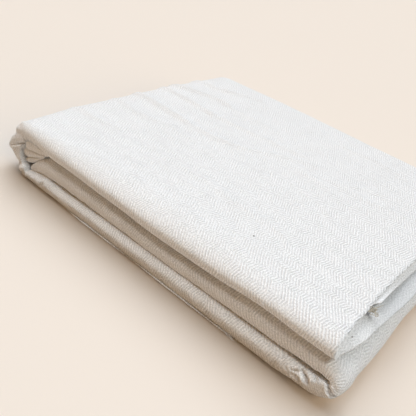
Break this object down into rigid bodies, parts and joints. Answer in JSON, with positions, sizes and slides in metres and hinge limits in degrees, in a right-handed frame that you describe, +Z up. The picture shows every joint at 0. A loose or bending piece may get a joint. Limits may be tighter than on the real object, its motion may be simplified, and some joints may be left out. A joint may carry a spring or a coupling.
{
  "type": "folded ihram cloth",
  "caption": "White cotton twill pilgrim's wrap, folded into a flat rectangular stack with rounded front folds and free layered edges at one end.",
  "frame": {"origin": "middle of the flat underside, under the middle of the folded stack", "axes": "+X along the long side, from the spine fold to the end with the free edges; +Y from the thick front folds to the back folds; +Z up"},
  "size_m": [0.371, 0.3091, 0.05],
  "materials": {
    "twill_face": "white cotton herringbone twill, matt, the ribs about 2 mm apart",
    "twill_inside": "the same white herringbone twill on the layers inside, seen at their edges"
  },
  "bodies": {
    "root": {"top_panel": "twill_face", "second_layer": "twill_inside", "third_layer": "twill_inside", "left_wrap": "twill_face", "inner_fold_upper": "twill_inside", "inner_fold_middle": "twill_inside", "inner_fold_lower": "twill_inside", "middle_fold": "twill_face", "right_wrap": "twill_face", "bottom_fold": "twill_face", "underside_panel": "twill_face", "hidden_layers": "twill_inside"}
  },
  "joints": []
}
